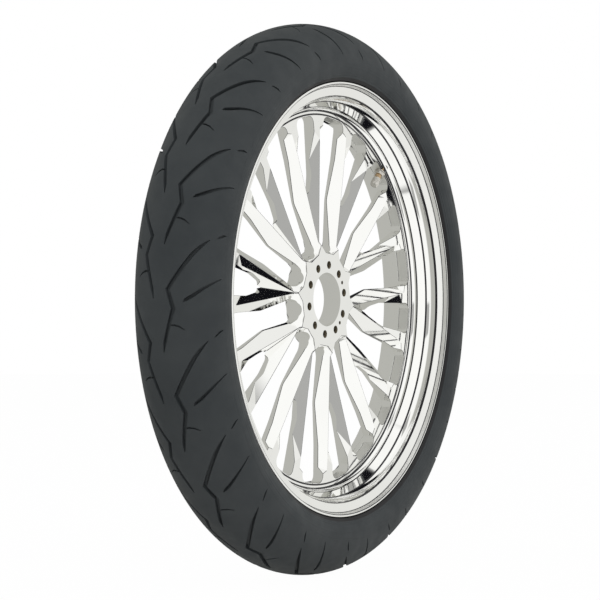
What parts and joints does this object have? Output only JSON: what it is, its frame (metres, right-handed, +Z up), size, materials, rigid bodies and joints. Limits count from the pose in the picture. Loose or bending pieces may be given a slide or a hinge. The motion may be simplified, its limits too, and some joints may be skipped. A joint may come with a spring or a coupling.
{
  "type": "motorcycle tire",
  "caption": "Tubeless front motorcycle tire with a directional grooved tread, mounted on a chromed forked-spoke wheel with a metal valve; the hub is open for an axle.",
  "frame": {"origin": "wheel centre: on the axle line, midway between the rim flanges", "axes": "+Y along the axle, away from the dished face that shows the valve; +Z up; +X to the right seen from the dished face"},
  "size_m": [0.6506, 0.108, 0.6506],
  "materials": {
    "tyre_rubber": "matt black rubber with a slight sheen",
    "cord_ply": "rubbered cord",
    "bead_wire": "bronze-coated steel wire",
    "chrome": "mirror-bright chrome plate",
    "brass": "turned brass",
    "nickel": "bright nickel plate",
    "valve_rubber": "matt black rubber"
  },
  "bodies": {
    "wheel": {"tread": "tyre_rubber", "belt_outer": "cord_ply", "belt_inner": "cord_ply", "carcass_ply": "cord_ply", "inner_liner": "tyre_rubber", "sidewall_front": "tyre_rubber", "sidewall_rear": "tyre_rubber", "bead_core_front": "bead_wire", "bead_core_rear": "bead_wire", "bead_filler_front": "tyre_rubber", "bead_filler_rear": "tyre_rubber", "rim": "chrome", "wheel_centre": "chrome", "valve_stem": "brass", "valve_seal": "valve_rubber", "valve_washer": "nickel", "valve_nut": "nickel", "valve_core": "brass", "valve_spring": "nickel"},
    "valve_pin": {"valve_pin": "nickel"},
    "valve_cap_seal": {"valve_cap_seal": "valve_rubber"},
    "valve_cap": {"valve_cap": "nickel"}
  },
  "joints": [
    {"name": "pin_press", "type": "slide", "parent": "wheel", "child": "valve_pin", "axis": [0.6769, 0, 0.7361], "range_m": [0, 0.001], "stiffness_N_per_m": 1000, "springref_m": -0.002, "deforming": ["valve_spring"]},
    {"name": "cap_lift", "type": "slide", "parent": "wheel", "child": "valve_cap_seal", "axis": [-0.6769, 0, -0.7361], "range_m": [0, 0.00437]},
    {"name": "cap_turn", "type": "hinge", "parent": "valve_cap_seal", "child": "valve_cap", "pos_m": [0.14688, -0.005, 0.15973], "axis": [-0.6769, 0, -0.7361], "range_deg": [0, 1980]}
  ],
  "couplings": [
    {"joint": "cap_turn", "follows": "cap_lift", "rad_per_m": 7913.3}
  ]
}
